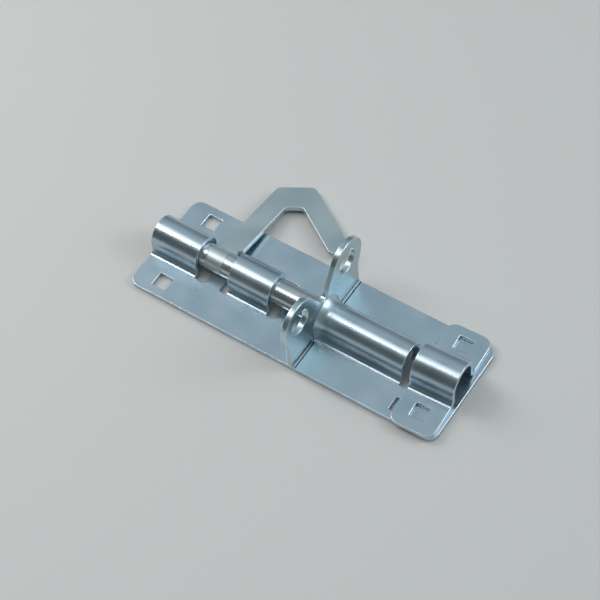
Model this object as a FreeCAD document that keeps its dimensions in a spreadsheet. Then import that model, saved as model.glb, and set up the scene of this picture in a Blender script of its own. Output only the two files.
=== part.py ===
import FreeCAD, Part
import math
import os

import Sketcher
from FreeCAD import Placement, Rotation, Vector

# Surface padbolt of pressed, zinc-plated steel. X runs along the bolt towards its tip, Y across
# the base plate towards the side the handle lies on, Z up from the mounting face. The origin is
# the middle of the base plate's mounting face.

doc = FreeCAD.newDocument("padbolt")

SIZES = [
    ("plate_length", 150.0, "base plate along the bolt"),
    ("plate_width", 51.0, "base plate across the bolt"),
    ("sheet", 2.0, "sheet of the base plate and the keeper"),
    ("corner_radius", 4.5, "plan corners of the base plate"),
    ("bend_radius", 2.0, "inside of the bends at the foot of each guide"),
    ("axis_height", 7.75, "bolt axis above the mounting face"),
    ("bore_radius", 5.75, "inside of the guides"),
    ("guide_end", 23.2, "first guide, from the left end of the plate"),
    ("tie_start", 28.3, "low cross tie under the bolt"),
    ("tie_end", 35.8, "low cross tie under the bolt"),
    ("hook_start", 39.5, "second guide, open on the far side"),
    ("hook_end", 59.6, "second guide, open on the far side"),
    ("hook_lip", 9.7, "free edge of the second guide above the mounting face"),
    ("slot_end", 63.6, "end of the lanced opening"),
    ("barrel_setback", 25.5, "long guide, from the right end of the plate"),
    ("slot_beyond", 2.5, "opening after the long guide"),
    ("flare_reach", 2.1, "flare at the mouth of the long guide"),
    ("flare_length", 4.6, "flare at the mouth of the long guide"),
    ("slot_corner", 1.4, "corners of the lanced openings"),
    ("hole_size", 6.6, "square holes for carriage bolts"),
    ("hole_row", 18.15, "square holes from the bolt's line"),
    ("left_hole", 12.8, "left pair from the left end of the plate"),
    ("right_hole_setback", 19.9, "right pair from the right end of the plate"),
    ("lock_front", 83.4, "front of the lock plate from the left end of the base plate"),
    ("lock_sheet", 2.7, "lock plate thickness"),
    ("lock_half_width", 25.3, "foot of the lock plate"),
    ("lock_shoulder", 14.5, "top of the lock plate's straight sides"),
    ("ear_offset", 17.6, "padlock eyes from the bolt's line"),
    ("ear_height", 24.9, "padlock eyes above the mounting face"),
    ("ear_radius", 10.7, "rounded ears"),
    ("eye_radius", 5.9, "padlock eyes"),
    ("valley_height", 18.3, "dip between the ears"),
    ("valley_radius", 2.5, "dip between the ears"),
    ("tenon_width", 8.0, "tenons of the lock plate"),
    ("tenon_offset", 17.0, "tenons from the bolt's line"),
    ("tenon_play", 0.1, "room round each tenon"),
    ("bead_radius", 1.2, "hollow bead along the foot of the lock plate"),
    ("bead_start", 10.2, "foot bead from the bolt's line"),
    ("rod_radius", 5.45, "bolt"),
    ("rod_start", 1.5, "tail of the bolt from the left end of the plate"),
    ("rod_inset", 1.5, "tip of the bolt inside the mouth of the long guide"),
    ("rod_chamfer", 1.4, "ends of the bolt"),
    ("neck_start", 26.0, "turned neck from the left end of the plate"),
    ("neck_width", 8.2, "turned neck along the bolt"),
    ("neck_radius", 3.0, "turned neck"),
    ("knuckle_play", 0.05, "room between the neck and the handle's eye"),
    ("knuckle_side_play", 0.1, "room beside the handle's eye"),
    ("knuckle_radius", 5.4, "outside of the handle's rolled eye"),
    ("handle_sheet", 2.4, "handle thickness"),
    ("handle_tilt", 6.2, "handle below the level, lying on the door"),
    ("band_width", 9.7, "leg and arm of the handle"),
    ("top_width", 12.0, "top of the handle"),
    ("leg_top", 48.3, "outer corner of the leg from the bolt's axis"),
    ("leg_lean", 1.1, "lean of the leg over its height"),
    ("apex_along", 14.8, "apex of the handle from its left edge"),
    ("apex_reach", 57.2, "apex of the handle from the bolt's axis"),
    ("arm_along", 47.4, "end of the returning arm from the left edge"),
    ("arm_reach", 35.6, "end of the returning arm from the bolt's axis"),
    ("root_shoulder", 9.2, "where the leg widens above its root"),
    ("root_inside", 4.4, "where the leg's root meets the eye"),
    ("root_slope", 1.5, "slope where the leg narrows to its root"),
    ("outer_round", 3.0, "outer corners of the handle"),
    ("inner_round", 2.5, "inner corners of the handle"),
    ("keeper_length", 20.1, "keeper along the bolt"),
    ("arch_setback", 0.4, "keeper's arch behind its left edge"),
    ("keeper_width", 53.5, "keeper across the bolt"),
    ("keeper_corner", 4.5, "plan corners of the keeper"),
    ("keeper_bore", 6.75, "inside of the keeper's arch"),
    ("keeper_hole_row", 18.35, "keeper's square holes from the line they are punched about"),
    ("keeper_hole_shift", 0.8, "keeper's holes punched off its middle, across the bolt"),
    ("keeper_hole_lead", 0.15, "keeper's holes punched off its middle, along the bolt"),
    ("keeper_setback", 11.85, "middle of the keeper from the right end of the plate"),
    ("keeper_shift", 0.3, "keeper off the bolt's line"),
    ("keeper_skew", 2.4, "keeper turned on the plate"),
]
sizes = doc.addObject("Spreadsheet::Sheet", "sizes")
for row, (alias, number, note) in enumerate(SIZES, 1):
    sizes.set("A%d" % row, note)
    sizes.set("B%d" % row, str(number))
    sizes.setAlias("B%d" % row, alias)
doc.recompute()

LEFT_END = "-sizes.plate_length / 2"
RIGHT_END = "sizes.plate_length / 2"
RIM = "(sizes.bore_radius + sizes.sheet)"
SLOT = "(sizes.bore_radius + sizes.sheet + sizes.bend_radius)"
UNDER_CUT = 1.0

START, END, CENTRE = range(1, 4)
ALONG_AXIS, UPRIGHT_AXIS = -1, -2
ORIGIN = (ALONG_AXIS, START)


def size(alias):
    return float(sizes.get(alias))


def from_left(alias):
    return "%s + sizes.%s" % (LEFT_END, alias)


def from_right(alias):
    return "%s - sizes.%s" % (RIGHT_END, alias)


def new_body(name):
    body = doc.addObject("PartDesign::Body", name)
    body.Label = name
    return body


def new_sketch(body, name, plane, offset=None):
    sketch = body.newObject("Sketcher::SketchObject", name)
    support = next(item for item in body.Origin.OriginFeatures if item.Role == plane)
    sketch.AttachmentSupport = (support, "")
    sketch.MapMode = "FlatFace"
    if offset:
        sketch.setExpression("AttachmentOffset.Base.z", offset)
    return sketch


def bind(sketch, kind, geometry, value, expression):
    """Adds one dimension and ties it to the spreadsheet."""
    index = sketch.addConstraint(Sketcher.Constraint(kind, *geometry, value))
    name = "%s_%d" % (kind.lower(), index)
    sketch.renameConstraint(index, name)
    sketch.setExpression("Constraints.%s" % name, expression)


def place(sketch, geometry, position, point, along, up):
    """Holds one point at a place given by two expressions, each None where it is free."""
    if along is not None:
        bind(sketch, "DistanceX", ORIGIN + (geometry, position), point[0], along)
    if up is not None:
        bind(sketch, "DistanceY", ORIGIN + (geometry, position), point[1], up)


def close_chain(sketch, first, count):
    for step in range(count):
        here = first + step
        after = first + (step + 1) % count
        sketch.addConstraint(Sketcher.Constraint("Coincident", here, END, after, START))


def add_rectangle(sketch, low, high, low_text, high_text):
    """A rectangle from its low corner to its high corner, both bound to the spreadsheet."""
    corners = [Vector(low[0], low[1], 0), Vector(high[0], low[1], 0),
               Vector(high[0], high[1], 0), Vector(low[0], high[1], 0)]
    lines = [Part.LineSegment(corners[i], corners[(i + 1) % 4]) for i in range(4)]
    first = sketch.GeometryCount
    sketch.addGeometry(lines, False)
    close_chain(sketch, first, 4)
    for step in (0, 2):
        sketch.addConstraint(Sketcher.Constraint("Horizontal", first + step))
        sketch.addConstraint(Sketcher.Constraint("Vertical", first + step + 1))
    place(sketch, first, START, low, low_text[0], low_text[1])
    place(sketch, first + 2, START, high, high_text[0], high_text[1])


def add_arch(sketch, half_width, floor, axis, half_text, floor_text, axis_text):
    """An upright slot end: flat floor, straight sides and a half-round top."""
    top = Part.Arc(Vector(half_width, axis, 0), Vector(0, axis + half_width, 0),
                   Vector(-half_width, axis, 0))
    shapes = [
        Part.LineSegment(Vector(-half_width, floor, 0), Vector(half_width, floor, 0)),
        Part.LineSegment(Vector(half_width, floor, 0), Vector(half_width, axis, 0)),
        top,
        Part.LineSegment(Vector(-half_width, axis, 0), Vector(-half_width, floor, 0)),
    ]
    sketch.addGeometry(shapes, False)
    sketch.addConstraint(Sketcher.Constraint("Coincident", 0, END, 1, START))
    sketch.addConstraint(Sketcher.Constraint("Coincident", 3, END, 0, START))
    sketch.addConstraint(Sketcher.Constraint("Tangent", 1, END, 2, START))
    sketch.addConstraint(Sketcher.Constraint("Tangent", 2, END, 3, START))
    sketch.addConstraint(Sketcher.Constraint("Horizontal", 0))
    sketch.addConstraint(Sketcher.Constraint("Vertical", 1))
    sketch.addConstraint(Sketcher.Constraint("PointOnObject", 2, CENTRE, UPRIGHT_AXIS))
    bind(sketch, "DistanceY", ORIGIN + (2, CENTRE), axis, axis_text)
    bind(sketch, "DistanceY", ORIGIN + (0, START), floor, floor_text)
    bind(sketch, "Radius", (2,), half_width, half_text)


def add_guide(sketch, bore, axis, bore_text, axis_text):
    """The section of a pressed guide: half-round top, straight legs and a bend at each foot."""
    sheet = size("sheet")
    bend = size("bend_radius")
    rim = bore + sheet
    foot = rim + bend
    knee = sheet + bend

    def bend_arc(side, radius, first, last):
        return Part.ArcOfCircle(Part.Circle(Vector(side * foot, knee, 0), UPRIGHT, radius),
                                math.radians(first), math.radians(last))

    def top_arc(radius):
        return Part.ArcOfCircle(Part.Circle(Vector(0, axis, 0), UPRIGHT, radius), 0, math.pi)

    sketch.addGeometry([
        bend_arc(1, bend, 180, 270),
        Part.LineSegment(Vector(rim, knee, 0), Vector(rim, axis, 0)),
        top_arc(rim),
        Part.LineSegment(Vector(-rim, axis, 0), Vector(-rim, knee, 0)),
        bend_arc(-1, bend, 270, 360),
        Part.LineSegment(Vector(-foot, sheet, 0), Vector(-foot, 0, 0)),
        bend_arc(-1, bend + sheet, 270, 360),
        Part.LineSegment(Vector(-bore, knee, 0), Vector(-bore, axis, 0)),
        top_arc(bore),
        Part.LineSegment(Vector(bore, axis, 0), Vector(bore, knee, 0)),
        bend_arc(1, bend + sheet, 180, 270),
        Part.LineSegment(Vector(foot, 0, 0), Vector(foot, sheet, 0)),
    ], False)
    for first, first_end, second, second_end in (
            (0, START, 1, START), (1, END, 2, START), (2, END, 3, START), (3, END, 4, END),
            (6, END, 7, START), (7, END, 8, END), (8, START, 9, START), (9, END, 10, START)):
        sketch.addConstraint(Sketcher.Constraint("Tangent", first, first_end, second, second_end))
    for first, first_end, second, second_end in (
            (4, START, 5, START), (5, END, 6, START), (10, END, 11, START), (11, END, 0, END)):
        sketch.addConstraint(Sketcher.Constraint("Coincident", first, first_end, second, second_end))
    for upright in (1, 3, 5, 7, 9, 11):
        sketch.addConstraint(Sketcher.Constraint("Vertical", upright))
    sketch.addConstraint(Sketcher.Constraint("Coincident", 2, CENTRE, 8, CENTRE))
    sketch.addConstraint(Sketcher.Constraint("PointOnObject", 2, CENTRE, UPRIGHT_AXIS))
    bind(sketch, "DistanceY", ORIGIN + (2, CENTRE), axis, axis_text)
    bind(sketch, "Radius", (8,), bore, bore_text)
    bind(sketch, "Radius", (2,), rim, bore_text + " + sizes.sheet")
    for outer, outer_end, inner in ((0, END, 10), (4, START, 6)):
        sketch.addConstraint(Sketcher.Constraint("Coincident", outer, CENTRE, inner, CENTRE))
        sketch.addConstraint(Sketcher.Constraint("Vertical", outer, outer_end, outer, CENTRE))
        bind(sketch, "Radius", (outer,), bend, "sizes.bend_radius")
        bind(sketch, "DistanceY", ORIGIN + (outer, CENTRE), knee, "sizes.sheet + sizes.bend_radius")


def pad(body, name, sketch, length, midplane=False, backwards=False):
    feature = body.newObject("PartDesign::Pad", name)
    feature.Profile = sketch
    feature.setExpression("Length", length)
    feature.Midplane = midplane
    feature.Reversed = backwards
    sketch.Visibility = False
    doc.recompute()
    return feature


def cut(body, name, sketch, length=None, forwards=True):
    """A pocket along the sketch's normal, through everything where no length is given."""
    feature = body.newObject("PartDesign::Pocket", name)
    feature.Profile = sketch
    feature.Reversed = forwards
    if length:
        feature.setExpression("Length", length)
    else:
        feature.Type = "ThroughAll"
    sketch.Visibility = False
    before = body.Shape.Volume
    doc.recompute()
    if body.Shape.Volume > before - 0.01:
        raise RuntimeError("%s removed nothing" % name)
    return feature


def dress(body, kind, name, amount_name, amount, chosen):
    """A fillet or chamfer on the edges that the test picks out."""
    base = body.Tip
    edges = [edge for edge in enumerate(base.Shape.Edges, 1) if chosen(edge[1])]
    if not edges:
        raise RuntimeError("%s finds no edge" % name)
    feature = body.newObject("PartDesign::" + kind, name)
    feature.Base = (base, ["Edge%d" % number for number, edge in edges])
    feature.setExpression(amount_name, amount)
    doc.recompute()
    return feature


def runs(edge, direction):
    if edge.Curve.TypeId != "Part::GeomLine":
        return False
    return abs(abs(edge.tangentAt(edge.FirstParameter).dot(direction)) - 1) < 1e-6


def near(value, wanted):
    return abs(value - wanted) < 0.02


ALONG = Vector(1, 0, 0)
UPRIGHT = Vector(0, 0, 1)
left_end = -size("plate_length") / 2
rim = size("bore_radius") + size("sheet")

# Base plate: one pressing with three guides raised over the bolt, lanced openings between them
# and a low tie that the bolt lies over. The second guide is a hook, open towards the handle.
base = new_body("base_plate")
blank = new_sketch(base, "base_blank", "XY_Plane")
half_width = size("plate_width") / 2
add_rectangle(blank, (left_end, -half_width), (-left_end, half_width),
              (LEFT_END, "-sizes.plate_width / 2"), ("sizes.plate_length / 2", "sizes.plate_width / 2"))
pad(base, "base_sheet", blank, "sizes.sheet")
dress(base, "Fillet", "base_corners", "Radius", "sizes.corner_radius", lambda edge: runs(edge, UPRIGHT))


slots = new_sketch(base, "slots", "XY_Plane")
slot = rim + size("bend_radius")
last_slot_end = -left_end - size("barrel_setback") + size("slot_beyond")
SLOTS = [(left_end - size("sheet"), left_end + size("tie_start"),
          LEFT_END + " - sizes.sheet", from_left("tie_start")),
         (left_end + size("tie_end"), left_end + size("slot_end"),
          from_left("tie_end"), from_left("slot_end")),
         (left_end + size("lock_front"), last_slot_end,
          from_left("lock_front"), from_right("barrel_setback") + " + sizes.slot_beyond")]
for low, high, low_text, high_text in SLOTS:
    add_rectangle(slots, (low, -slot), (high, slot), (low_text, "-" + SLOT), (high_text, SLOT))
cut(base, "lanced_slots", slots)


def slot_corner(edge):
    middle = edge.CenterOfMass
    ends = [left_end + size(alias) for alias in ("tie_start", "tie_end", "slot_end")] + [last_slot_end]
    return runs(edge, UPRIGHT) and near(abs(middle.y), slot) and any(near(middle.x, end) for end in ends)


dress(base, "Fillet", "slot_corners", "Radius", "sizes.slot_corner", slot_corner)

GUIDES = [
    ("tail_guide", LEFT_END, "sizes.guide_end"),
    ("hook_guide", from_left("hook_start"), "sizes.hook_end - sizes.hook_start"),
    ("long_guide", from_left("lock_front"),
     "sizes.plate_length - sizes.barrel_setback - sizes.lock_front"),
]
for guide_name, guide_start, guide_length in GUIDES:
    section = new_sketch(base, guide_name + "_section", "YZ_Plane", guide_start)
    add_guide(section, size("bore_radius"), size("axis_height"), "sizes.bore_radius",
              "sizes.axis_height")
    pad(base, guide_name, section, guide_length)

mouth = new_sketch(base, "hook_mouth", "YZ_Plane", from_left("hook_start"))
add_rectangle(mouth, (0.5 * size("bore_radius"), -UNDER_CUT), (slot, size("hook_lip")),
              ("0.5 * sizes.bore_radius", "-%s" % UNDER_CUT), (SLOT, "sizes.hook_lip"))
cut(base, "hook_opening", mouth, "sizes.hook_end - sizes.hook_start")

squares = new_sketch(base, "square_holes", "XY_Plane")
half_hole = size("hole_size") / 2
for hole_x, hole_text in ((left_end + size("left_hole"), from_left("left_hole")),
                          (-left_end - size("right_hole_setback"), from_right("right_hole_setback"))):
    for side in (-1, 1):
        hole_y = side * size("hole_row")
        add_rectangle(squares, (hole_x - half_hole, hole_y - half_hole),
                      (hole_x + half_hole, hole_y + half_hole),
                      (hole_text + " - sizes.hole_size / 2",
                       "%d * sizes.hole_row - sizes.hole_size / 2" % side),
                      (hole_text + " + sizes.hole_size / 2",
                       "%d * sizes.hole_row + sizes.hole_size / 2" % side))
cut(base, "carriage_bolt_holes", squares)

tenon_slots = new_sketch(base, "tenon_slots", "XY_Plane")
lock_back = size("lock_front") - size("lock_sheet")
for side in (-1, 1):
    half_slot = size("tenon_width") / 2 + size("tenon_play")
    add_rectangle(tenon_slots,
                  (left_end + lock_back - size("tenon_play"), side * size("tenon_offset") - half_slot),
                  (left_end + size("lock_front") + size("tenon_play"),
                   side * size("tenon_offset") + half_slot),
                  (from_left("lock_front") + " - sizes.lock_sheet - sizes.tenon_play",
                   "%d * sizes.tenon_offset - sizes.tenon_width / 2 - sizes.tenon_play" % side),
                  (from_left("lock_front") + " + sizes.tenon_play",
                   "%d * sizes.tenon_offset + sizes.tenon_width / 2 + sizes.tenon_play" % side))
cut(base, "lock_plate_slots", tenon_slots)

# The long guide opens out against the lock plate in a small flare.
def add_flare(sketch, side, level, level_text):
    """Half the mouth's section: a curved fillet from the guide's outside up to the flare's rim."""
    mouth_x = left_end + size("lock_front")
    reach = size("flare_reach")
    length = size("flare_length")
    surface = level + side * rim
    inside = surface - side * 0.5 * size("sheet")
    radius = (length ** 2 + reach ** 2) / (2 * reach)
    low = Vector(mouth_x + length, surface, 0)
    high = Vector(mouth_x, surface + side * reach, 0)
    middle_angle = 0.5 * math.asin(length / radius)
    centre = Vector(low.x, surface + side * radius, 0)
    middle = centre + Vector(-math.sin(middle_angle) * radius, -side * math.cos(middle_angle) * radius, 0)
    first = sketch.GeometryCount
    sketch.addGeometry([
        Part.LineSegment(Vector(mouth_x, inside, 0), high),
        Part.Arc(high, middle, low),
        Part.LineSegment(low, Vector(low.x, inside, 0)),
        Part.LineSegment(Vector(low.x, inside, 0), Vector(mouth_x, inside, 0)),
    ], False)
    arc_ends = (START, END) if side > 0 else (END, START)
    for here, here_end, after, after_end in ((0, END, 1, arc_ends[0]), (1, arc_ends[1], 2, START),
                                             (2, END, 3, START), (3, END, 0, START)):
        sketch.addConstraint(Sketcher.Constraint("Coincident", first + here, here_end,
                                                 first + after, after_end))
    for upright in (0, 2):
        sketch.addConstraint(Sketcher.Constraint("Vertical", first + upright))
    sketch.addConstraint(Sketcher.Constraint("Horizontal", first + 3))
    sketch.addConstraint(Sketcher.Constraint("Vertical", first + 1, CENTRE, first + 2, START))
    place(sketch, first, END, high, from_left("lock_front"),
          "%s + %d * (%s + sizes.flare_reach)" % (level_text, side, RIM))
    place(sketch, first + 2, START, low, from_left("lock_front") + " + sizes.flare_length",
          "%s + %d * %s" % (level_text, side, RIM))
    bind(sketch, "DistanceY", ORIGIN + (first + 3, START), inside,
         "%s + %d * (%s - sizes.sheet / 2)" % (level_text, side, RIM))


flare = new_sketch(base, "flare_section", "XZ_Plane")
add_flare(flare, 1, size("axis_height"), "sizes.axis_height")
turning_line = Part.LineSegment(Vector(0, size("axis_height"), 0),
                                Vector(size("flare_length"), size("axis_height"), 0))
flare.addGeometry([turning_line], True)
flare.addConstraint(Sketcher.Constraint("Horizontal", 4))
flare.addConstraint(Sketcher.Constraint("PointOnObject", 4, START, UPRIGHT_AXIS))
bind(flare, "DistanceX", (4, START, 4, END), size("flare_length"), "sizes.flare_length")
bind(flare, "DistanceY", ORIGIN + (4, START), size("axis_height"), "sizes.axis_height")
mouth_ring = base.newObject("PartDesign::Revolution", "guide_mouth")
mouth_ring.Profile = flare
mouth_ring.ReferenceAxis = (flare, ["Axis0"])
mouth_ring.Angle = 180
mouth_ring.Midplane = True
flare.Visibility = False
flare_legs = new_sketch(base, "flare_legs_plan", "XY_Plane")
for side in (-1, 1):
    add_flare(flare_legs, side, 0, "0")
pad(base, "guide_mouth_legs", flare_legs, "sizes.axis_height")


# Lock plate: a thicker plate standing across the base plate, held by two tenons, with a padlock
# eye on each side of the bolt and an opening that the bolt slides through.
lock = new_body("lock_plate")
foot_level = size("sheet")
front = from_left("lock_front")
back = front + " - sizes.lock_sheet"
outline = new_sketch(lock, "lock_outline", "YZ_Plane", back)
ear = Vector(size("ear_offset"), size("ear_height"), 0)
radius = size("ear_radius")
shoulder = Vector(size("lock_half_width"), size("lock_shoulder"), 0)
dip = Vector(0, size("valley_height") + size("valley_radius"), 0)


def tangent_from(point, centre, reach, turn):
    """Where the line from a point touches a circle, on the side that turn picks."""
    away = point - centre
    distance = away.Length
    angle = math.atan2(away.y, away.x) + turn * math.acos(reach / distance)
    return centre + Vector(reach * math.cos(angle), reach * math.sin(angle), 0)


def common_tangent(low_centre, low_reach, high_centre, high_reach):
    """Touching points of the line that crosses from the dip's round to the ear's round."""
    across = high_centre - low_centre
    angle = math.atan2(across.y, across.x) - math.acos((low_reach + high_reach) / across.Length)
    normal = Vector(math.cos(angle), math.sin(angle), 0)
    return low_centre + normal * low_reach, high_centre - normal * high_reach


side_touch = tangent_from(shoulder, ear, radius, 1)
dip_touch, ear_touch = common_tangent(dip, size("valley_radius"), ear, radius)


def mirrored(point):
    return Vector(-point.x, point.y, 0)


def ear_arc(centre, first, last):
    start_angle = math.atan2(first.y - centre.y, first.x - centre.x)
    end_angle = math.atan2(last.y - centre.y, last.x - centre.x)
    return Part.ArcOfCircle(Part.Circle(centre, UPRIGHT, (first - centre).Length), start_angle, end_angle)


foot = Vector(size("lock_half_width"), foot_level, 0)
outline.addGeometry([
    Part.LineSegment(mirrored(foot), foot),
    Part.LineSegment(foot, shoulder),
    Part.LineSegment(shoulder, side_touch),
    ear_arc(ear, side_touch, ear_touch),
    Part.LineSegment(ear_touch, dip_touch),
    ear_arc(dip, mirrored(dip_touch), dip_touch),
    Part.LineSegment(mirrored(dip_touch), mirrored(ear_touch)),
    ear_arc(mirrored(ear), mirrored(ear_touch), mirrored(side_touch)),
    Part.LineSegment(mirrored(side_touch), mirrored(shoulder)),
    Part.LineSegment(mirrored(shoulder), mirrored(foot)),
    Part.Circle(ear, UPRIGHT, size("eye_radius")),
    Part.Circle(mirrored(ear), UPRIGHT, size("eye_radius")),
], False)
for first, second in ((0, 1), (1, 2), (8, 9), (9, 0)):
    outline.addConstraint(Sketcher.Constraint("Coincident", first, END, second, START))
for first, first_end, second, second_end in ((2, END, 3, START), (3, END, 4, START), (4, END, 5, END),
                                             (5, START, 6, START), (6, END, 7, START),
                                             (7, END, 8, START)):
    outline.addConstraint(Sketcher.Constraint("Tangent", first, first_end, second, second_end))
outline.addConstraint(Sketcher.Constraint("Vertical", 1))
outline.addConstraint(Sketcher.Constraint("Symmetric", 0, START, 0, END, UPRIGHT_AXIS))
outline.addConstraint(Sketcher.Constraint("Symmetric", 1, END, 8, END, UPRIGHT_AXIS))
outline.addConstraint(Sketcher.Constraint("Symmetric", 3, CENTRE, 7, CENTRE, UPRIGHT_AXIS))
outline.addConstraint(Sketcher.Constraint("Coincident", 10, CENTRE, 3, CENTRE))
outline.addConstraint(Sketcher.Constraint("Coincident", 11, CENTRE, 7, CENTRE))
outline.addConstraint(Sketcher.Constraint("Equal", 3, 7))
outline.addConstraint(Sketcher.Constraint("Equal", 10, 11))
outline.addConstraint(Sketcher.Constraint("PointOnObject", 5, CENTRE, UPRIGHT_AXIS))
place(outline, 1, START, foot, "sizes.lock_half_width", "sizes.sheet")
bind(outline, "DistanceY", ORIGIN + (1, END), shoulder.y, "sizes.lock_shoulder")
place(outline, 3, CENTRE, ear, "sizes.ear_offset", "sizes.ear_height")
bind(outline, "DistanceY", ORIGIN + (5, CENTRE), dip.y, "sizes.valley_height + sizes.valley_radius")
bind(outline, "Radius", (3,), radius, "sizes.ear_radius")
bind(outline, "Radius", (5,), size("valley_radius"), "sizes.valley_radius")
bind(outline, "Radius", (10,), size("eye_radius"), "sizes.eye_radius")
pad(lock, "lock_sheet_metal", outline, "sizes.lock_sheet")

gate = new_sketch(lock, "bolt_opening", "YZ_Plane", back)
add_arch(gate, size("bore_radius"), foot_level - UNDER_CUT, size("axis_height"),
         "sizes.bore_radius", "sizes.sheet - %s" % UNDER_CUT, "sizes.axis_height")
cut(lock, "bolt_gate", gate, "sizes.lock_sheet")

tenons = new_sketch(lock, "tenon_plan", "XY_Plane")
for side in (-1, 1):
    add_rectangle(tenons,
                  (left_end + lock_back, side * size("tenon_offset") - size("tenon_width") / 2),
                  (left_end + size("lock_front"), side * size("tenon_offset") + size("tenon_width") / 2),
                  (back, "%d * sizes.tenon_offset - sizes.tenon_width / 2" % side),
                  (front, "%d * sizes.tenon_offset + sizes.tenon_width / 2" % side))
pad(lock, "tenons", tenons, "sizes.sheet")

bead = new_sketch(lock, "foot_bead", "XZ_Plane", "sizes.bead_start")
bead_reach = size("bead_radius")
bead_foot = Vector(left_end + size("lock_front"), foot_level, 0)
bead_toe = bead_foot + Vector(bead_reach, 0, 0)
bead_top = bead_foot + Vector(0, bead_reach, 0)
bead_centre = bead_foot + Vector(bead_reach, bead_reach, 0)
bead.addGeometry([Part.LineSegment(bead_foot, bead_toe),
                  Part.ArcOfCircle(Part.Circle(bead_centre, UPRIGHT, bead_reach), math.pi, 1.5 * math.pi),
                  Part.LineSegment(bead_top, bead_foot)], False)
for first, first_end, second, second_end in ((0, END, 1, END), (1, START, 2, START), (2, END, 0, START)):
    bead.addConstraint(Sketcher.Constraint("Coincident", first, first_end, second, second_end))
bead.addConstraint(Sketcher.Constraint("Horizontal", 0))
bead.addConstraint(Sketcher.Constraint("Vertical", 2))
bead.addConstraint(Sketcher.Constraint("Vertical", 0, END, 1, CENTRE))
bead.addConstraint(Sketcher.Constraint("Horizontal", 1, START, 1, CENTRE))
place(bead, 0, START, bead_foot, front, "sizes.sheet")
bind(bead, "Radius", (1,), bead_reach, "sizes.bead_radius")
near_bead = pad(lock, "near_foot_bead", bead, "sizes.lock_half_width - sizes.bead_start")
far_bead = lock.newObject("PartDesign::Mirrored", "far_foot_bead")
far_bead.Originals = [near_bead]
far_bead.MirrorPlane = (next(item for item in lock.Origin.OriginFeatures if item.Role == "XZ_Plane"), [""])
lock.Tip = far_bead
doc.recompute()

# Bolt: a plain round bar with chamfered ends and a turned neck that the handle's eye swivels on.
rod = new_body("bolt_rod")
section = new_sketch(rod, "bar_section", "YZ_Plane", from_left("rod_start"))
section.addGeometry([Part.Circle(Vector(0, size("axis_height"), 0), UPRIGHT, size("rod_radius"))], False)
section.addConstraint(Sketcher.Constraint("PointOnObject", 0, CENTRE, UPRIGHT_AXIS))
bind(section, "DistanceY", ORIGIN + (0, CENTRE), size("axis_height"), "sizes.axis_height")
bind(section, "Radius", (0,), size("rod_radius"), "sizes.rod_radius")
pad(rod, "round_bar", section,
    "sizes.plate_length - sizes.barrel_setback - sizes.rod_inset - sizes.rod_start")
dress(rod, "Chamfer", "bar_ends", "Size", "sizes.rod_chamfer",
      lambda edge: edge.Curve.TypeId == "Part::GeomCircle")
neck = new_sketch(rod, "neck_section", "YZ_Plane", from_left("neck_start"))
neck.addGeometry([Part.Circle(Vector(0, size("axis_height"), 0), UPRIGHT, size("rod_radius") + 1),
                  Part.Circle(Vector(0, size("axis_height"), 0), UPRIGHT, size("neck_radius"))], False)
neck.addConstraint(Sketcher.Constraint("PointOnObject", 0, CENTRE, UPRIGHT_AXIS))
neck.addConstraint(Sketcher.Constraint("Coincident", 0, CENTRE, 1, CENTRE))
bind(neck, "DistanceY", ORIGIN + (0, CENTRE), size("axis_height"), "sizes.axis_height")
bind(neck, "Radius", (0,), size("rod_radius") + 1, "sizes.rod_radius + 1")
bind(neck, "Radius", (1,), size("neck_radius"), "sizes.neck_radius")
cut(rod, "turned_neck", neck, "sizes.neck_width")

# Handle: a flat hook of even band width, its root rolled into an eye round the bolt's neck. It is
# drawn flat, with the bolt's axis along X, and then laid down on the far side.
handle = new_body("handle")
eye = new_sketch(handle, "eye_section", "YZ_Plane", from_left("neck_start") + " + sizes.knuckle_side_play")
eye_bore = size("neck_radius") + size("knuckle_play")
eye.addGeometry([Part.Circle(Vector(0, 0, 0), UPRIGHT, size("knuckle_radius")),
                 Part.Circle(Vector(0, 0, 0), UPRIGHT, eye_bore)], False)
eye.addConstraint(Sketcher.Constraint("Coincident", 0, CENTRE, *ORIGIN))
eye.addConstraint(Sketcher.Constraint("Coincident", 1, CENTRE, *ORIGIN))
bind(eye, "Radius", (0,), size("knuckle_radius"), "sizes.knuckle_radius")
bind(eye, "Radius", (1,), eye_bore, "sizes.neck_radius + sizes.knuckle_play")
pad(handle, "rolled_eye", eye, "sizes.neck_width - 2 * sizes.knuckle_side_play")

band = new_sketch(handle, "band_outline", "XY_Plane")
root_left = left_end + size("neck_start") + size("knuckle_side_play")
root_right = left_end + size("neck_start") + size("neck_width") - size("knuckle_side_play")
width = size("band_width")
top_width = size("top_width")
leg_corner = Vector(root_left + size("leg_lean"), size("leg_top"), 0)
apex = Vector(root_left + size("apex_along"), size("apex_reach"), 0)
arm_end = Vector(root_left + size("arm_along"), size("arm_reach"), 0)
root_foot = Vector(root_left, size("root_inside"), 0)


def inward(first, second):
    """Unit vector from an outer edge of the band towards its inner edge."""
    run = (second - first).normalize()
    return Vector(run.y, -run.x, 0)


def meet(point, run, other, other_run):
    """Where two lines of the inner edge meet."""
    scale = run.x * other_run.y - run.y * other_run.x
    gap = other - point
    return point + run * ((gap.x * other_run.y - gap.y * other_run.x) / scale)


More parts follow.
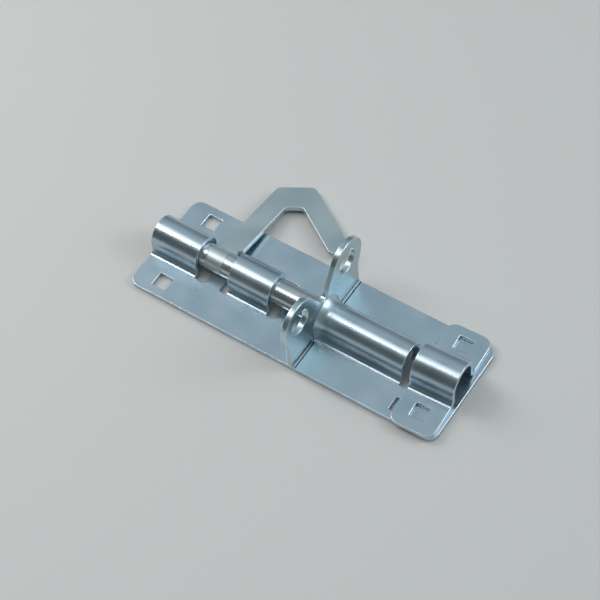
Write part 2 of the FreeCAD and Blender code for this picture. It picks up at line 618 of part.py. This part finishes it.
leg_run = (leg_corner - root_foot).normalize()
top_run = (apex - leg_corner).normalize()
arm_run = (arm_end - apex).normalize()
leg_inner = root_foot + inward(root_foot, leg_corner) * width
top_inner = leg_corner + inward(leg_corner, apex) * top_width
arm_inner = arm_end + inward(apex, arm_end) * width
inner_corner = meet(leg_inner, leg_run, top_inner, top_run)
inner_apex = meet(top_inner, top_run, arm_inner, arm_run)
leg_foot = leg_inner + leg_run * ((size("root_shoulder") - leg_inner.y) / leg_run.y)
root_shoulder = Vector(root_right, size("root_shoulder") - size("root_slope"), 0)
root_end = Vector(root_right, size("root_inside"), 0)
loop = [root_foot, leg_corner, apex, arm_end, arm_inner, inner_apex, inner_corner, leg_foot,
        root_shoulder, root_end]
band.addGeometry([Part.LineSegment(loop[i], loop[(i + 1) % len(loop)]) for i in range(len(loop))], False)
close_chain(band, 0, len(loop))
for outer_line, inner_line, band_now, band_text in (
        (0, 6, width, "sizes.band_width"), (1, 5, top_width, "sizes.top_width"),
        (2, 4, width, "sizes.band_width")):
    band.addConstraint(Sketcher.Constraint("Parallel", outer_line, inner_line))
    bind(band, "Distance", (inner_line, START, outer_line), band_now, band_text)
band.addConstraint(Sketcher.Constraint("Perpendicular", 2, 3))
band.addConstraint(Sketcher.Constraint("Vertical", 8))
band.addConstraint(Sketcher.Constraint("Horizontal", 9))
ROOT_LEFT = from_left("neck_start") + " + sizes.knuckle_side_play"
ROOT_RIGHT = from_left("neck_start") + " + sizes.neck_width - sizes.knuckle_side_play"
place(band, 0, START, root_foot, ROOT_LEFT, "sizes.root_inside")
place(band, 1, START, leg_corner, ROOT_LEFT + " + sizes.leg_lean", "sizes.leg_top")
place(band, 2, START, apex, ROOT_LEFT + " + sizes.apex_along", "sizes.apex_reach")
place(band, 3, START, arm_end, ROOT_LEFT + " + sizes.arm_along", "sizes.arm_reach")
place(band, 8, START, root_shoulder, ROOT_RIGHT, "sizes.root_shoulder - sizes.root_slope")
bind(band, "DistanceY", ORIGIN + (7, START), leg_foot.y, "sizes.root_shoulder")
pad(handle, "flat_band", band, "sizes.handle_sheet", midplane=True)

OUTER_CORNERS = [leg_corner, apex]
INNER_CORNERS = [inner_corner, inner_apex]
ARM_CORNERS = [arm_end, arm_inner]
ROOT_CORNERS = [leg_foot, root_shoulder]


def stands_at(edge, points):
    middle = edge.CenterOfMass
    return runs(edge, UPRIGHT) and any(
        math.hypot(middle.x - point.x, middle.y - point.y) < 0.3 for point in points)


for round_name, corners, round_size in (("outer_rounds", OUTER_CORNERS, "sizes.outer_round"),
                                        ("inner_rounds", INNER_CORNERS, "sizes.inner_round"),
                                        ("arm_rounds", ARM_CORNERS, "0.45 * sizes.band_width")):
    dress(handle, "Fillet", round_name, "Radius", round_size,
          lambda edge: stands_at(edge, corners))
swing = Rotation(ALONG, -size("handle_tilt"))
handle.Placement = Placement(Vector(0, 0, size("axis_height")), swing)
handle.setExpression("Placement.Base.z", "sizes.axis_height")
handle.setExpression("Placement.Rotation.Angle", "-sizes.handle_tilt")

# Keeper: a short pressing with one arch for the bolt and two square holes, lying loose on the
# right end of the base plate and a little askew.
keeper = new_body("keeper_plate")
half_length = size("keeper_length") / 2
half_keeper = size("keeper_width") / 2
keeper_foot = size("keeper_bore") + size("sheet") + size("bend_radius")
KEEPER_FOOT = "(sizes.keeper_bore + sizes.sheet + sizes.bend_radius)"
arch = new_sketch(keeper, "keeper_arch_section", "YZ_Plane",
                  "-sizes.keeper_length / 2 + sizes.arch_setback")
add_guide(arch, size("keeper_bore"), size("axis_height"), "sizes.keeper_bore", "sizes.axis_height")
pad(keeper, "keeper_arch", arch, "sizes.keeper_length - sizes.arch_setback")
flanges = new_sketch(keeper, "keeper_flanges", "XY_Plane")
add_rectangle(flanges, (-half_length, keeper_foot), (half_length, half_keeper),
              ("-sizes.keeper_length / 2", KEEPER_FOOT),
              ("sizes.keeper_length / 2", "sizes.keeper_width / 2"))
add_rectangle(flanges, (-half_length, -half_keeper), (half_length, -keeper_foot),
              ("-sizes.keeper_length / 2", "-sizes.keeper_width / 2"),
              ("sizes.keeper_length / 2", "-" + KEEPER_FOOT))
pad(keeper, "keeper_sheet", flanges, "sizes.sheet")
dress(keeper, "Fillet", "keeper_corners", "Radius", "sizes.keeper_corner",
      lambda edge: runs(edge, UPRIGHT) and near(abs(edge.CenterOfMass.y), half_keeper))
keeper_squares = new_sketch(keeper, "keeper_square_holes", "XY_Plane")
lead = size("keeper_hole_lead")
for side in (-1, 1):
    middle_y = side * size("keeper_hole_row") + size("keeper_hole_shift")
    row_text = "%d * sizes.keeper_hole_row + sizes.keeper_hole_shift" % side
    add_rectangle(keeper_squares, (lead - half_hole, middle_y - half_hole),
                  (lead + half_hole, middle_y + half_hole),
                  ("sizes.keeper_hole_lead - sizes.hole_size / 2", row_text + " - sizes.hole_size / 2"),
                  ("sizes.keeper_hole_lead + sizes.hole_size / 2", row_text + " + sizes.hole_size / 2"))
cut(keeper, "keeper_bolt_holes", keeper_squares)
keeper.Placement = Placement(Vector(-left_end - size("keeper_setback"), size("keeper_shift"), foot_level),
                             Rotation(UPRIGHT, size("keeper_skew")))
keeper.setExpression("Placement.Base.x", from_right("keeper_setback"))
keeper.setExpression("Placement.Base.y", "sizes.keeper_shift")
keeper.setExpression("Placement.Base.z", "sizes.sheet")
keeper.setExpression("Placement.Rotation.Angle", "sizes.keeper_skew")

doc.recompute()

for item in doc.Objects:
    if "Invalid" in item.State or "Error" in item.State:
        raise RuntimeError("%s is %s" % (item.Name, item.State))

os.makedirs("parts", exist_ok=True)
for body in (base, lock, rod, handle, keeper):
    if body.Shape.isNull() or not body.Shape.isValid() or len(body.Shape.Solids) != 1:
        raise RuntimeError("%s is not one valid solid" % body.Label)
    body.Shape.exportStep("parts/%s.step" % body.Label)
    print(body.Label, round(body.Shape.Volume), body.Shape.BoundBox)
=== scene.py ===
import math

import bmesh
import bpy
from mathutils import Matrix, Vector


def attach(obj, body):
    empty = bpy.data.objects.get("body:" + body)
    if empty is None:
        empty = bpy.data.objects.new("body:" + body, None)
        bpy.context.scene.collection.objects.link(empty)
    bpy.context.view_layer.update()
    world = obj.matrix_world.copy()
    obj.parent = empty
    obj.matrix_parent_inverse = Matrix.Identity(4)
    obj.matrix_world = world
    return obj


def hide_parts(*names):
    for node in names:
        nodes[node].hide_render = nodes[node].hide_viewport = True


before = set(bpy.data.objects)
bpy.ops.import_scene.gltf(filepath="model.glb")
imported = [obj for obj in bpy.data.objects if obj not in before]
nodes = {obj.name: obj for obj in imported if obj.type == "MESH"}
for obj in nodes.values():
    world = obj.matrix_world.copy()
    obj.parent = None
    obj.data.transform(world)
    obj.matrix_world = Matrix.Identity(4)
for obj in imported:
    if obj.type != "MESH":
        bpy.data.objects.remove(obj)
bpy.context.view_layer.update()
scene = bpy.context.scene
scene.view_settings.view_transform = "Standard"

# Camera. It stands to the right and above, looking down the bolt from its tip, at the angle the
# photograph was taken from. The matrix columns are the camera's right, up and backward.
SENSOR_MM = 36.0
LENS_MM = 109.44
SEES_TO = 10.0
camera = bpy.data.cameras.new("camera")
camera.sensor_width = SENSOR_MM
camera.lens = LENS_MM
camera.clip_end = SEES_TO
camera_object = bpy.data.objects.new("camera", camera)
scene.collection.objects.link(camera_object)
camera_object.matrix_world = Matrix((
    (0.83373496, -0.42881329, 0.347858, 0.25727),
    (0.54989954, 0.70183284, -0.45281472, -0.34041),
    (-0.04996519, 0.56881441, 0.82094679, 0.62658),
    (0.0, 0.0, 0.0, 1.0)))
scene.camera = camera_object

# Room. Bright metal shows what stands round it, so the room is shaded by the angle across the
# bolt, in degrees from straight up: dim on the near side, a soft cool grey above and behind. The
# glow grows towards the tip's end.
ROOM_SHADES = [
    (-180, (0.20, 0.21, 0.21)), (-92, (0.085, 0.10, 0.10)), (-45, (0.085, 0.10, 0.10)),
    (-6, (0.10, 0.12, 0.12)), (10, (0.27, 0.32, 0.34)), (26, (0.43, 0.51, 0.54)),
    (48, (0.36, 0.42, 0.46)), (70, (0.18, 0.21, 0.23)), (110, (0.16, 0.19, 0.20)),
    (180, (0.20, 0.21, 0.21)),
]
GLOW_STARTS, GLOW_FULL = -0.1, 0.5
TAIL_GLOW, TIP_GLOW = 1.0, 2.4


def link(tree, source, target):
    tree.links.new(source, target)


world = bpy.data.worlds.new("room")
scene.world = world
world.use_nodes = True
sky = world.node_tree
sky.nodes.clear()
toward = sky.nodes.new("ShaderNodeTexCoord")
split = sky.nodes.new("ShaderNodeSeparateXYZ")
link(sky, toward.outputs["Generated"], split.inputs["Vector"])
angle = sky.nodes.new("ShaderNodeMath")
angle.operation = "ARCTAN2"
link(sky, split.outputs["Y"], angle.inputs[0])
link(sky, split.outputs["Z"], angle.inputs[1])
share = sky.nodes.new("ShaderNodeMapRange")
share.inputs["From Min"].default_value = -math.pi
share.inputs["From Max"].default_value = math.pi
link(sky, angle.outputs["Value"], share.inputs["Value"])
shades = sky.nodes.new("ShaderNodeValToRGB")
ramp = shades.color_ramp
while len(ramp.elements) < len(ROOM_SHADES):
    ramp.elements.new(0.5)
for stop, (degrees, colour) in zip(ramp.elements, ROOM_SHADES):
    stop.position = (degrees + 180) / 360
    stop.color = (*colour, 1)
link(sky, share.outputs["Result"], shades.inputs["Fac"])
room = sky.nodes.new("ShaderNodeBackground")
link(sky, shades.outputs["Color"], room.inputs["Color"])
toward_tip = sky.nodes.new("ShaderNodeMapRange")
toward_tip.inputs["From Min"].default_value = GLOW_STARTS
toward_tip.inputs["From Max"].default_value = GLOW_FULL
toward_tip.inputs["To Min"].default_value = TAIL_GLOW
toward_tip.inputs["To Max"].default_value = TIP_GLOW
link(sky, split.outputs["X"], toward_tip.inputs["Value"])
link(sky, toward_tip.outputs["Result"], room.inputs["Strength"])
sky_out = sky.nodes.new("ShaderNodeOutputWorld")
link(sky, room.outputs["Background"], sky_out.inputs["Surface"])


# Lamps. A long soft panel and a brighter tube hang over the bolt, along it, and a panel stands at
# each end; together they light a pale surface to about its own colour.
WARM = (1.0, 0.99, 0.97)


def lamp(name, place, long_side, short_side, watts):
    """A rectangular panel at place, facing the origin, its long side as near along X as it goes."""
    light = bpy.data.lights.new(name, "AREA")
    light.shape = "RECTANGLE"
    light.size = long_side
    light.size_y = short_side
    light.energy = watts
    light.color = WARM
    holder = bpy.data.objects.new(name, light)
    scene.collection.objects.link(holder)
    away = Vector(place).normalized()
    along = (Vector((1, 0, 0)) - away * away.x).normalized()
    across = away.cross(along)
    turned = Matrix((along, across, away)).transposed().to_4x4()
    holder.matrix_world = Matrix.Translation(place) @ turned


lamp("overhead_panel", (-0.33, -0.13, 0.90), long_side=1.0, short_side=0.34, watts=1.35)
lamp("overhead_tube", (-0.33, -0.30, 0.90), long_side=1.0, short_side=0.045, watts=1.3)
lamp("tip_end_panel", (0.61, 0.41, 0.52), long_side=0.3, short_side=0.3, watts=1.2)
lamp("tail_end_panel", (-0.78, -0.05, 0.66), long_side=0.6, short_side=0.5, watts=3.1)

# Floor. A plain pale board, a hair's breadth under the base plate, which keeps the padbolt's soft
# shadow.
FLOOR_REACH = 3.0
FLOOR_GAP = 0.0002
FLOOR_GREY = (0.65, 0.64, 0.63)
FLOOR_ROUGHNESS = 0.9
floor_mesh = bpy.data.meshes.new("floor")
floor_mesh.from_pydata([(-FLOOR_REACH, -FLOOR_REACH, 0), (FLOOR_REACH, -FLOOR_REACH, 0),
                        (FLOOR_REACH, FLOOR_REACH, 0), (-FLOOR_REACH, FLOOR_REACH, 0)],
                       [], [(0, 1, 2, 3)])
floor = bpy.data.objects.new("floor", floor_mesh)
floor.location.z = -FLOOR_GAP
scene.collection.objects.link(floor)
floor_look = bpy.data.materials.new("floor_paint")
floor_look.use_nodes = True
floor_paint = floor_look.node_tree.nodes["Principled BSDF"]
floor_paint.inputs["Base Color"].default_value = (*FLOOR_GREY, 1)
floor_paint.inputs["Roughness"].default_value = FLOOR_ROUGHNESS
floor_mesh.materials.append(floor_look)


# Base plate. A pressing of 2 mm steel sheet, zinc plated after pressing: three guides raised over
# the bolt, lanced openings between them. Its sheared edges are eased and polished by tumbling.
SHEET_EDGE = 0.0003
UNDERSIDE = 0.0005
SHEET_DULL, SHEET_BRIGHT = (0.50, 0.615, 0.70), (0.56, 0.675, 0.755)
SHEET_ROUGHNESS = (0.26, 0.34)
MERGE_WITHIN = 2e-6
SHORTEST_EDGE = 5e-5
FLAT_WITHIN = math.radians(0.4)
SHARP_OVER = math.radians(38)
STAYS_CREASED = math.radians(50)
ROUNDING_STEPS = 2
FACE_SIZE_WEIGHT = 80


def eased(node, piece_name, edge_round, stays_sharp):
    """A merged copy of a node's mesh, its sharp edges rounded, but not where stays_sharp says."""
    mesh = nodes[node].data.copy()
    mesh.name = piece_name
    work = bmesh.new()
    work.from_mesh(mesh)
    bmesh.ops.remove_doubles(work, verts=work.verts, dist=MERGE_WITHIN)
    bmesh.ops.dissolve_degenerate(work, dist=SHORTEST_EDGE, edges=work.edges)
    bmesh.ops.dissolve_limit(work, angle_limit=FLAT_WITHIN, use_dissolve_boundaries=False,
                             verts=work.verts, edges=work.edges, delimit=set())
    worn = work.faces.layers.float.new("edge")
    corners = [edge for edge in work.edges if edge.calc_face_angle(0) > SHARP_OVER
               and not stays_sharp((edge.verts[0].co + edge.verts[1].co) / 2)]
    rounded = bmesh.ops.bevel(work, geom=corners, offset=edge_round, offset_type="OFFSET",
                              segments=ROUNDING_STEPS, profile=0.5, affect="EDGES",
                              clamp_overlap=False, loop_slide=True,
                              miter_outer="SHARP", miter_inner="SHARP")
    for face in rounded["faces"]:
        face[worn] = 1.0
    for face in work.faces:
        face.smooth = True
        face.material_index = 0
    for edge in work.edges:
        edge.smooth = edge.calc_face_angle(0) < STAYS_CREASED
    work.to_mesh(mesh)
    work.free()
    mesh.materials.clear()
    piece = bpy.data.objects.new(piece_name, mesh)
    scene.collection.objects.link(piece)
    shading = piece.modifiers.new("flat_faces_flat", "WEIGHTED_NORMAL")
    shading.mode = "FACE_AREA"
    shading.weight = FACE_SIZE_WEIGHT
    shading.keep_sharp = True
    bpy.context.view_layer.update()
    depsgraph = bpy.context.evaluated_depsgraph_get()
    finished = bpy.data.meshes.new_from_object(piece.evaluated_get(depsgraph), depsgraph=depsgraph)
    piece.modifiers.clear()
    piece.data = finished
    return piece


CLOUDS_PER_METRE = 60.0
CLOUDS_DULL_BELOW, CLOUDS_BRIGHT_OVER = 0.36, 0.66
WORN_EDGE = (0.86, 0.9, 0.94)
EDGE_WEAR = 0.6
STREAKS_PER_METRE = (40, 450, 450)
STREAK_SHARE = 0.25
GLOSS_FROM, GLOSS_TO = 0.42, 0.82
WAVES_PER_METRE = 160.0
WAVE_STRENGTH = 0.07
WAVE_HEIGHT = 0.0002


def zinc(name, dull, bright, roughness):
    """Bright zinc plate: faint clouds of tone, rolling streaks in the gloss, slight waves in the
    surface, and paler, worn edges."""
    look = bpy.data.materials.new(name)
    look.use_nodes = True
    tree = look.node_tree
    metal = tree.nodes["Principled BSDF"]
    metal.inputs["Metallic"].default_value = 1.0
    place = tree.nodes.new("ShaderNodeTexCoord")
    clouds = tree.nodes.new("ShaderNodeTexNoise")
    clouds.inputs["Scale"].default_value = CLOUDS_PER_METRE
    clouds.inputs["Detail"].default_value = 1.0
    link(tree, place.outputs["Object"], clouds.inputs["Vector"])
    tone = tree.nodes.new("ShaderNodeValToRGB")
    tone.color_ramp.elements[0].position = CLOUDS_DULL_BELOW
    tone.color_ramp.elements[0].color = (*dull, 1)
    tone.color_ramp.elements[1].position = CLOUDS_BRIGHT_OVER
    tone.color_ramp.elements[1].color = (*bright, 1)
    link(tree, clouds.outputs["Fac"], tone.inputs["Fac"])
    worn = tree.nodes.new("ShaderNodeAttribute")
    worn.attribute_name = "edge"
    paler = tree.nodes.new("ShaderNodeMix")
    paler.data_type = "RGBA"
    paler.inputs["B"].default_value = (*WORN_EDGE, 1)
    worn_share = tree.nodes.new("ShaderNodeMath")
    worn_share.operation = "MULTIPLY"
    worn_share.inputs[1].default_value = EDGE_WEAR
    link(tree, worn.outputs["Fac"], worn_share.inputs[0])
    link(tree, worn_share.outputs["Value"], paler.inputs["Factor"])
    link(tree, tone.outputs["Color"], paler.inputs["A"])
    link(tree, paler.outputs["Result"], metal.inputs["Base Color"])
    stretch = tree.nodes.new("ShaderNodeMapping")
    stretch.inputs["Scale"].default_value = STREAKS_PER_METRE
    link(tree, place.outputs["Object"], stretch.inputs["Vector"])
    streaks = tree.nodes.new("ShaderNodeTexNoise")
    streaks.inputs["Scale"].default_value = 1.0
    streaks.inputs["Detail"].default_value = 0.0
    link(tree, stretch.outputs["Vector"], streaks.inputs["Vector"])
    blend = tree.nodes.new("ShaderNodeMath")
    blend.operation = "MULTIPLY_ADD"
    blend.inputs[1].default_value = STREAK_SHARE
    link(tree, streaks.outputs["Fac"], blend.inputs[0])
    link(tree, clouds.outputs["Fac"], blend.inputs[2])
    gloss = tree.nodes.new("ShaderNodeMapRange")
    gloss.inputs["From Min"].default_value = GLOSS_FROM
    gloss.inputs["From Max"].default_value = GLOSS_TO
    gloss.inputs["To Min"].default_value = roughness[0]
    gloss.inputs["To Max"].default_value = roughness[1]
    link(tree, blend.outputs["Value"], gloss.inputs["Value"])
    link(tree, gloss.outputs["Result"], metal.inputs["Roughness"])
    waves = tree.nodes.new("ShaderNodeTexNoise")
    waves.inputs["Scale"].default_value = WAVES_PER_METRE
    waves.inputs["Detail"].default_value = 0.0
    link(tree, place.outputs["Object"], waves.inputs["Vector"])
    sheet_bump = tree.nodes.new("ShaderNodeBump")
    sheet_bump.inputs["Strength"].default_value = WAVE_STRENGTH
    sheet_bump.inputs["Distance"].default_value = WAVE_HEIGHT
    link(tree, waves.outputs["Fac"], sheet_bump.inputs["Height"])
    link(tree, sheet_bump.outputs["Normal"], metal.inputs["Normal"])
    return look


def fit_piece(node, body, edge_round, look, stays_sharp=lambda place: False):
    """Puts the eased copy of a node, in its look, in the node's place."""
    piece = eased(node, node + "_eased", edge_round, stays_sharp)
    piece.data.materials.append(look)
    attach(piece, body)
    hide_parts(node)


fit_piece("base_plate", "base", SHEET_EDGE,
          zinc("base_zinc", SHEET_DULL, SHEET_BRIGHT, SHEET_ROUGHNESS),
          lambda place: place.z < UNDERSIDE)

# Lock plate. A thicker plate standing across the base plate on two tenons, with a padlock eye on
# each side of the bolt. Its plating is a little greener than the base plate's, and painted shade
# darkens the outer edge of its foot, where the foot meets the base plate.
LOCK_EDGE = 0.0004
LOCK_FOOT = 0.0032
LOCK_DULL, LOCK_BRIGHT = (0.50, 0.64, 0.68), (0.57, 0.71, 0.75)
LOCK_ROUGHNESS = (0.24, 0.32)
# Painted shade: the foot's outer edge is darkened in its colour, as if shadowed in the crease with
# the base plate.
FOOT_SHADE_FROM, FOOT_SHADE_FULL = 0.0082, 0.0091
FOOT_PAINTED_SHADE = (0.04, 0.06, 0.07)


def with_painted_foot_shade(look):
    """The same plating with painted shade darkening the foot's thin outer edge, where it meets the
    base plate.
    """
    tree = look.node_tree
    base_colour = tree.nodes["Principled BSDF"].inputs["Base Color"]
    plated = base_colour.links[0].from_socket
    place = tree.nodes.new("ShaderNodeTexCoord")
    split = tree.nodes.new("ShaderNodeSeparateXYZ")
    link(tree, place.outputs["Object"], split.inputs["Vector"])
    outer = tree.nodes.new("ShaderNodeMapRange")
    outer.inputs["From Min"].default_value = FOOT_SHADE_FROM
    outer.inputs["From Max"].default_value = FOOT_SHADE_FULL
    link(tree, split.outputs["X"], outer.inputs["Value"])
    # Painted shade, mixed into the plating along the foot's outer edge.
    painted_foot_shade = tree.nodes.new("ShaderNodeMix")
    painted_foot_shade.data_type = "RGBA"
    painted_foot_shade.inputs["B"].default_value = (*FOOT_PAINTED_SHADE, 1)
    link(tree, outer.outputs["Result"], painted_foot_shade.inputs["Factor"])
    link(tree, plated, painted_foot_shade.inputs["A"])
    link(tree, painted_foot_shade.outputs["Result"], base_colour)
    return look


fit_piece("lock_plate", "base", LOCK_EDGE,
          with_painted_foot_shade(zinc("lock_zinc", LOCK_DULL, LOCK_BRIGHT, LOCK_ROUGHNESS)),
          lambda place: place.z < LOCK_FOOT)

# Bolt. A turned steel bar, plated, the palest and smoothest part of the padbolt. It slides in the
# guides, and the handle's eye sits round its narrow neck.
ROD_EDGE = 0.0002
ROD_DULL, ROD_BRIGHT = (0.60, 0.66, 0.70), (0.68, 0.73, 0.77)
ROD_ROUGHNESS = (0.22, 0.3)
fit_piece("bolt_rod", "bolt", ROD_EDGE,
          zinc("rod_zinc", ROD_DULL, ROD_BRIGHT, ROD_ROUGHNESS))

# Handle. A flat hook cut from 2.4 mm sheet, its root rolled round the bolt's neck. It lies on the
# far side and looks a shade greyer and more matt than the base plate.
HANDLE_EDGE = 0.0003
HANDLE_ROOT = 0.0095
HANDLE_DULL, HANDLE_BRIGHT = (0.54, 0.62, 0.65), (0.60, 0.68, 0.71)
HANDLE_ROUGHNESS = (0.36, 0.46)
fit_piece("handle", "handle", HANDLE_EDGE,
          zinc("handle_zinc", HANDLE_DULL, HANDLE_BRIGHT, HANDLE_ROUGHNESS),
          lambda place: place.y < HANDLE_ROOT)

# Keeper. A short pressing of the base plate's sheet with one arch for the bolt's tip, lying loose
# and a little askew on the base plate's right end.
KEEPER_EDGE = 0.0003
KEEPER_DULL, KEEPER_BRIGHT = (0.49, 0.60, 0.685), (0.55, 0.66, 0.74)
KEEPER_ROUGHNESS = (0.26, 0.34)
fit_piece("keeper_plate", "base", KEEPER_EDGE,
          zinc("keeper_zinc", KEEPER_DULL, KEEPER_BRIGHT, KEEPER_ROUGHNESS))
